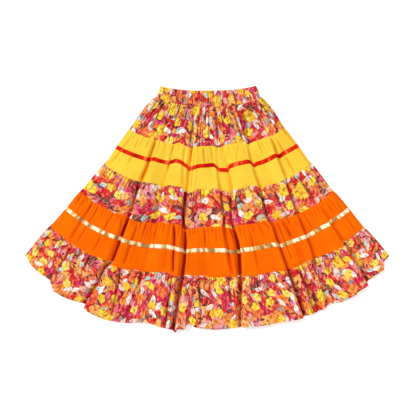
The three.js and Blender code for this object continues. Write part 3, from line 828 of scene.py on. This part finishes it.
def waistband(height, facing):
    """A shirred band's grid: flat, its top and bottom edges rounded, with gathers all along it."""
    rings = (RINGS["waist"], RINGS["band_seam"])
    rows = np.linspace(0, 1, BAND_ROWS)[:, None]
    share = np.linspace(-1, 1, BAND_COLUMNS)[None, :]
    angle = mix(*(share * np.where(share < 0, ring.left, ring.right) for ring in rings), rows)
    radius = mix(*(arc_radius(ring, share) for ring in rings), rows) - BAND_STOP * rows
    points = on_fan(angle, radius, height)
    down = rows * (rings[1].middle - rings[0].middle)
    along = (share + 1) / 2 * BAND_LENGTH
    side = np.minimum(1, np.minimum(along, BAND_LENGTH - along) / BAND_SIDE_CALM)
    held = mix(BAND_EDGE_GATHERS, 1, np.sin(np.pi * rows) ** BAND_EDGE_CURVE)
    relief = gathers(along, 0 * down, GATHERS["shirring"]) * held * side
    for row in SHIRR_ROWS:
        relief = relief - SHIRR_DIP * np.exp(-((rows - row) / SHIRR_HALF) ** 2)
    points[..., 2] += facing * np.maximum(relief, -BAND_DEEPEST)
    normals = np.broadcast_to(np.array([0.0, 0.0, 1.0]), points.shape)
    return points, normals, print_places(points, down, BAND_CUT)


def shell_mesh(name, points, normals, cloth, reach):
    """A closed shell round a grid of points, with a rounded rim and its cloth coordinates in metres.

    reach is how far below and above the points the shell's two faces lie.
    """
    rows, columns = points.shape[:2]
    index = np.arange(rows * columns).reshape(rows, columns)
    rim = np.concatenate([index[0], index[1:, -1], index[-1, -2::-1], index[-2:0:-1, 0]])
    row, column = np.divmod(rim, columns)
    inside = index[np.clip(row, 1, rows - 2), np.clip(column, 1, columns - 2)]
    # The hollows of both faces, for the shade painted into folds and gathers; the rim has none.
    shade = np.concatenate([hollows(points).ravel(), hollows(-points).ravel(), np.zeros(len(rim))])
    points, normals, cloth = (grid.reshape(-1, grid.shape[-1]) for grid in (points, normals, cloth))
    away = points[rim] - points[inside]
    away /= np.linalg.norm(away, axis=-1, keepdims=True)
    upper, lower = points + normals * reach[1], points + normals * reach[0]
    middle = (upper + lower)[rim] / 2 + away * (reach[1] - reach[0]) * RIM_ROUNDING
    vertices = np.concatenate([upper, lower, middle]) * MILLIMETRE
    coordinates = np.concatenate([cloth, cloth, cloth[rim]]) * MILLIMETRE

    below = rows * columns
    corners = (index[:-1, :-1], index[1:, :-1], index[1:, 1:], index[:-1, 1:])
    top = np.stack(corners, axis=-1).reshape(-1, 4)
    bottom = top[:, [0, 3, 2, 1]] + below
    edge = 2 * below + np.arange(len(rim))
    next_rim, next_edge = np.roll(rim, -1), np.roll(edge, -1)
    outer_rim = np.stack([rim, next_rim, next_edge, edge], axis=-1)
    inner_rim = np.stack([edge, next_edge, next_rim + below, rim + below], axis=-1)
    faces = np.concatenate([top, bottom, outer_rim, inner_rim])

    mesh = bpy.data.meshes.new(name)
    mesh.from_pydata(vertices, [], faces, shade_flat=False)
    mesh.attributes.new("hollow", "FLOAT", "POINT").data.foreach_set("value", shade)
    mesh.uv_layers.new(name="cloth").data.foreach_set("uv", coordinates[faces.ravel()].ravel())
    mesh.validate()
    return mesh


def add_object(name, data):
    obj = bpy.data.objects.new(name, data)
    bpy.context.scene.collection.objects.link(obj)
    return obj


def piece(name, node, grid, reach, material):
    """A finished piece in the place of its solid, drawn round its grid."""
    obj = add_object(name, shell_mesh(name, *grid, reach))
    obj.data.materials.append(material)
    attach(obj, "root")
    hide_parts(node)
    return obj


def linear(code):
    """A colour written as six hexadecimal digits, as the shader's linear numbers."""
    parts = [int(code[start:start + 2], 16) / 255 for start in (0, 2, 4)]
    light = [value / 12.92 if value <= 0.04045 else ((value + 0.055) / 1.055) ** 2.4 for value in parts]
    return (*light, 1.0)


def shader_math(operation):
    """An operation on a field, for a sign between it and another value."""
    return lambda field, *others: field.nodes.math(operation, field, *others)


class Field:
    """A number, place or colour that varies over a material: a node's output, with arithmetic."""

    __add__ = shader_math("ADD")
    __sub__ = shader_math("SUBTRACT")
    __mul__ = shader_math("MULTIPLY")
    __truediv__ = shader_math("DIVIDE")
    __abs__ = shader_math("ABSOLUTE")

    def __init__(self, nodes, socket):
        self.nodes = nodes
        self.socket = socket


class Nodes:
    """A material's nodes, added with short calls. A value is a number, a colour's code or a field."""

    def __init__(self, name):
        self.material = bpy.data.materials.new(name)
        self.material.use_nodes = True
        self.tree = self.material.node_tree
        self.shader = self.tree.nodes["Principled BSDF"]

    def put(self, socket, value):
        if isinstance(value, Field):
            self.tree.links.new(value.socket, socket)
        else:
            socket.default_value = linear(value) if isinstance(value, str) else value

    def finish(self, looks):
        """The material, once its shader has these values, by name."""
        for name, value in looks.items():
            self.put(self.shader.inputs[name], value)
        return self.material

    def node(self, kind, inputs=(), **settings):
        """A new node. Its inputs are pairs of a number or name and a value."""
        made = self.tree.nodes.new(kind)
        for key, value in settings.items():
            setattr(made, key, value)
        for key, value in dict(inputs).items():
            self.put(made.inputs[key], value)
        return made

    def out(self, made, output=0):
        return Field(self, made.outputs[output])

    def math(self, operation, *values):
        return self.out(self.node("ShaderNodeMath", enumerate(values), operation=operation))

    def vector(self, operation, *values):
        return self.out(self.node("ShaderNodeVectorMath", enumerate(values), operation=operation))

    def split(self, value, kind="XYZ"):
        """A place's x, y and z, or a colour's red, green and blue if the kind is Color."""
        made = self.node("ShaderNodeSeparate" + kind, {0: value})
        return [self.out(made, number) for number in range(3)]

    def between(self, value, start, end):
        """0 where the value is at start and 1 where it is at end, with a soft step between."""
        inputs = enumerate((value, start, end, 0.0, 1.0))
        return self.out(self.node("ShaderNodeMapRange", inputs, interpolation_type="SMOOTHSTEP"))

    def mix(self, share, first, second, blend="MIX"):
        inputs = {0: share, 6: first, 7: second}
        return self.out(self.node("ShaderNodeMix", inputs, data_type="RGBA", blend_type=blend), 2)

    def pick(self, value, codes):
        """One of the colours, by a random value from 0 to 1."""
        made = self.node("ShaderNodeValToRGB", {0: value})
        made.color_ramp.interpolation = "CONSTANT"
        elements = made.color_ramp.elements
        while len(elements) < len(codes):
            elements.new(0.5)
        for number, code in enumerate(codes):
            elements[number].position = number / len(codes)
            elements[number].color = linear(code)
        return self.out(made)

    def cloth(self):
        return self.out(self.node("ShaderNodeUVMap", uv_map="cloth"))

    def hollow(self):
        """How far a place lies in a fold or gather, from 0 to 1, for painted shade."""
        return self.out(self.node("ShaderNodeAttribute", attribute_name="hollow"), "Fac")

    def noise(self, where, size, detail=2.0):
        inputs = {"Vector": where, "Scale": 1 / size, "Detail": detail}
        return self.out(self.node("ShaderNodeTexNoise", inputs, noise_dimensions="2D"), "Fac")

    def waves(self, place, spacing):
        return self.math("SINE", place * (TURN / spacing))

    def bump(self, height, strength, distance):
        made = self.node("ShaderNodeBump", {"Height": height, "Strength": strength, "Distance": distance})
        self.finish({"Normal": self.out(made)})

    def scattered(self, where, size, seed):
        """A motif's own x and y, turned at random, and two random numbers, in cells of a size."""
        moved = self.vector("ADD", where, (seed * SEED_STEP[0], seed * SEED_STEP[1], 0))
        inputs = {"Vector": moved, "Scale": 1 / size, "Randomness": SCATTER}
        cells = self.node("ShaderNodeTexVoronoi", inputs, voronoi_dimensions="2D")
        first, second, third = self.split(self.out(cells, "Color"), "Color")
        away = self.vector("SUBTRACT", moved, self.out(cells, "Position"))
        inputs = {"Vector": away, "Angle": first * TURN}
        turned = self.node("ShaderNodeVectorRotate", inputs, rotation_type="Z_AXIS")
        x, y, _ = self.split(self.out(turned))
        return x, y, second, third

    def leaf(self, x, y, random, length, width, codes, rib):
        """A pointed leaf's mask and colour, with a midrib, side veins, a dark half and an outline."""
        side = abs(y)
        reach = side / width + self.math("POWER", abs(x / length), LEAF_POINT)
        veins = self.between(self.waves(x - side * VEIN_SLANT, VEIN_SPACING), *VEIN_EDGE) * VEIN_SHARE
        lines = self.math("MAXIMUM", self.between(side, *MIDRIB), veins)
        fill = self.mix(self.math("GREATER_THAN", y, 0.0) * HALF_SHADE, self.pick(random, codes), rib)
        fill = self.mix(lines * LEAF_LINES, fill, rib)
        fill = self.mix(self.between(reach, 0.86, 0.97) * OUTLINE_SHARE, fill, OUTLINE)
        return self.between(reach, 1.04, 0.96), fill

    def flower(self, x, y, random, radius, petals, depth, codes, line, heart):
        """A round flower's mask and colour, with petals, a swirl, a heart and an outline."""
        turn = self.math("ARCTAN2", y, x)
        far = self.math("SQRT", x * x + y * y) / radius
        lobes = abs(self.math("COSINE", turn * (petals / 2)))
        reach = far / (lobes * depth + (1 - depth))
        swirl = self.between(self.math("SINE", far * SWIRL[0] + turn * SWIRL[1]), 0.6, 0.95)
        lines = self.math("MAXIMUM", self.between(lobes, 0.3, 0.08), swirl)
        fill = self.mix(lines * FLOWER_LINES, self.pick(random, codes), line)
        fill = self.mix(self.between(far, *HEART_EDGE), fill, heart)
        fill = self.mix(self.between(reach, 0.9, 0.98) * OUTLINE_SHARE, fill, OUTLINE)
        return self.between(reach, 1.03, 0.97), fill


def floral_cloth(name, stitch_rows=()):
    """The printed cotton: leaves, roses and many-petalled flowers over a dark ground, with shade painted
    into its folds.
    """
    nodes = Nodes(name)
    cloth = nodes.cloth()
    bends = [(nodes.noise(cloth, size, 4.0) - 0.5) * reach for size, reach in WANDER]
    where = nodes.vector("ADD", cloth, nodes.out(nodes.node("ShaderNodeCombineXYZ", enumerate(bends))))
    colour = nodes.mix(nodes.between(nodes.noise(where, GROUND), 0.4, 0.6), "5A2622", "96584A")
    for kind, size, seed, keep, *shape in PRINT_LAYERS:
        x, y, first, second = nodes.scattered(where, size, seed)
        draw = nodes.leaf if kind == "leaf" else nodes.flower
        mask, fill = draw(x, y, first, *shape)
        colour = nodes.mix(mask * nodes.math("LESS_THAN", second, keep), colour, fill)
    brush = nodes.noise(nodes.vector("MULTIPLY", where, (1.0, 0.6, 1.0)), BRUSH)
    colour = nodes.mix(nodes.between(brush, 0.5, 0.3) * DARK_BRUSH, colour, "7E1E24")
    colour = nodes.mix(nodes.between(brush, 0.54, 0.76) * PALE_BRUSH, colour, "FFDCC0")
    # Painted shade: the print darkens in folds and gathers by how deep they lie.
    colour = nodes.mix(nodes.hollow() * PRINT_SHADE, colour, "A85456", "MULTIPLY")
    finish_cotton(nodes, stitch_rows)
    return nodes.finish({"Base Color": colour})


def finish_cotton(nodes, stitch_rows=()):
    """The weave, soft sheen and stitching of a cotton, for the material's bump and roughness."""
    cloth = nodes.cloth()
    along, down, _ = nodes.split(cloth)
    slub = nodes.noise(cloth, SLUB, 3.0)
    height = (nodes.waves(along, COTTON_THREAD) + nodes.waves(down, COTTON_THREAD)) * 0.25 + slub
    for row in stitch_rows:
        away = abs(down - row)
        dash = nodes.between(nodes.waves(along, STITCH), -0.6, -0.1)
        height = height + nodes.between(away, *STITCH_EDGE) * dash * STITCH_HEIGHT
        height = height - nodes.between(away, *GROOVE_EDGE) * GROOVE_DEPTH
    nodes.bump(height, 0.35, 0.0002)
    nodes.finish({"Roughness": slub * 0.15 + 0.7, "Specular IOR Level": 0.03})


def plain_cloth(name, light, deep, shaded, deepest, shade_strength):
    """A plain dyed cotton whose colour varies a little with the cloth, with warmer shade painted into its
    folds and the darkest painted shade in the deepest.
    """
    nodes = Nodes(name)
    cloth = nodes.cloth()
    threads = nodes.noise(nodes.vector("MULTIPLY", cloth, (1.0, 0.08, 1.0)), DYED_THREAD)
    share = nodes.noise(cloth, PATCH) * 0.7 + threads * 0.3
    colour = nodes.mix(nodes.between(share, 0.3, 0.7), light, deep)
    # Painted shade: the dye turns to the shaded colour in folds and gathers, and to the darkest painted
    # shade in the deepest.
    colour = nodes.mix(nodes.hollow() * shade_strength, colour, shaded)
    colour = nodes.mix(nodes.between(nodes.hollow(), 0.7, 1.05), colour, deepest)
    finish_cotton(nodes)
    return nodes.finish({"Base Color": colour})


def red_ribbon():
    """A satin ribbon with fine ribs across it, with painted highlights and painted shade in patches along
    it.
    """
    nodes = Nodes("red_ribbon")
    cloth = nodes.cloth()
    # Painted sheen: darker red patches are painted shade, and orange patches are painted highlights.
    painted_sheen = nodes.noise(nodes.vector("MULTIPLY", cloth, (1.0, 0.2, 1.0)), RED_SHEEN)
    colour = nodes.mix(nodes.between(painted_sheen, 0.5, 0.3), "DE1E00", "AE0600")
    colour = nodes.mix(nodes.between(painted_sheen, 0.56, 0.72), colour, "F66A30")
    nodes.bump(nodes.waves(nodes.split(cloth)[0], RED_RIB), 0.4, 0.00015)
    return nodes.finish({"Base Color": colour, "Roughness": 0.4, "Specular IOR Level": 0.05})


def gold_ribbon():
    """A metallic ribbon: crossed gold threads with glints, its shine in stretches painted into its colour as
    cream highlights and brown shade.
    """
    nodes = Nodes("gold_ribbon")
    cloth = nodes.cloth()
    along, down, _ = nodes.split(cloth)
    # Painted reflection: brown, gold and cream stretches stand in for shade and highlights along the ribbon.
    painted_shine = nodes.noise(nodes.vector("MULTIPLY", cloth, (1.0, 0.15, 1.0)), GOLD_PAINTED_SHINE, 1.0)
    colour = nodes.mix(nodes.between(painted_shine, 0.36, 0.47), "B0763A", "E4B464")
    colour = nodes.mix(nodes.between(painted_shine, 0.48, 0.58), colour, "FFF2CC")
    threads = nodes.waves(along, GOLD_THREAD) + nodes.waves(down, GOLD_THREAD)
    nodes.bump(threads * 0.4 + nodes.noise(cloth, GOLD_GLINT, 1.0), 0.6, 0.0003)
    return nodes.finish({"Base Color": colour, "Metallic": 0.35, "Roughness": 0.36})


def floor_and_light():
    """A plain pale floor that glows a little to lighten the skirt's shadow, a white sky and two soft studio
    lights, the stronger at the upper left.
    """
    floor_mesh = bpy.data.meshes.new("floor")
    corners = [(x * FLOOR_REACH, y * FLOOR_REACH, 0) for x, y in ((-1, -1), (1, -1), (1, 1), (-1, 1))]
    floor_mesh.from_pydata(corners, [], [(0, 1, 2, 3)])
    floor = add_object("floor", floor_mesh)
    floor.location.z = -FLOOR_DROP
    paper = Nodes("floor_paper")
    grain = paper.noise(paper.out(paper.node("ShaderNodeTexCoord"), "Object"), PAPER_GRAIN)
    paper.finish({"Base Color": paper.mix(grain, "FBFBFB", "FDFDFD"), "Roughness": 0.9})
    # Painted light: the floor's glow lightens the skirt's cast shadow.
    shadow_lifting_glow = {"Emission Color": "FFFFFF", "Emission Strength": FLOOR_SHADOW_GLOW}
    floor_mesh.materials.append(paper.finish(shadow_lifting_glow))

    world = bpy.data.worlds.new("studio")
    bpy.context.scene.world = world
    world.use_nodes = True
    world.node_tree.nodes["Background"].inputs[0].default_value = SKY
    world.node_tree.nodes["Background"].inputs[1].default_value = SKY_STRENGTH

    for name, place, spread, strength in LIGHTS:
        data = bpy.data.lights.new(name, "SUN")
        data.angle = spread * DEGREE
        data.energy = strength
        add_object(name, data).rotation_euler = Vector(place).to_track_quat("Z", "Y").to_euler()


def camera():
    """The camera looks straight down at the middle of the skirt, from far enough to be nearly flat."""
    data = bpy.data.cameras.new("camera")
    data.lens = LENS
    data.sensor_width = SENSOR
    cam = add_object("camera", data)
    cam.location = (*VIEW_MIDDLE, VIEW_WIDTH * LENS / SENSOR + VIEW_HEIGHT)
    bpy.context.scene.camera = cam
    bpy.context.scene.view_settings.view_transform = "Standard"


def on_bolt(grid, start, side, cut):
    """A grid with its cloth coordinates at its own place along the bolt, so that no two prints match."""
    points, normals, cloth = grid
    place = start + (cut[0] if side == "back" else 0)
    return points, normals, cloth + (place / MILLIMETRE, 0)


def tier_ribbon(name, side, grid, materials):
    """The ribbon sewn on one side of a tier: over the cloth on the front, and under it on the back."""
    colour, width = RIBBONS[name]
    rows = np.abs(tier_rows(name)[:, 0] - RINGS[colour].middle) <= width / 2 + RIBBON_MARGIN
    near = CLOTH_HALF + RIBBON_GAP
    far = near + RIBBON_WALL
    reach = (near, far) if side == "front" else (-far, -near)
    label = f"ribbon_{colour}_{side}"
    return piece(f"strip_{label}", label, [part[rows] for part in grid], reach, materials[colour])


def tier_side(name, side, materials):
    """The front or back of a tier, with its ribbon."""
    plan = TIERS[name]
    label = f"{name}_{side}"
    grid = front_tier(name) if side == "front" else back_tier(name)
    grid = on_bolt(grid, plan.bolt_start, side, plan.cut)
    reach = (-CLOTH_HALF, CLOTH_HALF)
    tier = piece(f"cloth_{label}", label, grid, reach, materials[plan.material])
    strips = [tier_ribbon(name, side, grid, materials)] if name in RIBBONS else []


def band_side(side, height, facing, material):
    """The front or back of the waistband. facing is 1 if its gathers are on top and -1 if underneath."""
    grid = on_bolt(waistband(height, facing), BAND_BOLT_START, side, BAND_CUT)
    label = f"waistband_{side}"
    band = piece(f"cloth_{label}", label, grid, (-BAND_HALF, BAND_HALF), material)


def main():
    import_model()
    camera()
    floor_and_light()
    materials = {
        "floral": floral_cloth("floral_cotton"),
        "floral_hem": floral_cloth("floral_hem", (HEM_STITCH,)),
        # Each plain cotton's two dyes, then its painted shade in folds, its darkest painted shade and the
        # strength of that shade.
        "yellow": plain_cloth("yellow_cotton", "EDCC42", "EDC23A", "EA9410", "DA7A0A", 1.3),
        "orange": plain_cloth("orange_cotton", "F26E00", "EE6200", "CC3A02", "8A1C00", 0.95),
        "red": red_ribbon(),
        "gold": gold_ribbon(),
    }
    for name in TIERS:
        tier_side(name, "front", materials)
        tier_side(name, "back", materials)
    band_side("front", 2 * BAND_WALL + BAND_GAP - BAND_HALF, 1, materials["floral"])
    band_side("back", BAND_HALF, -1, materials["floral"])


main()
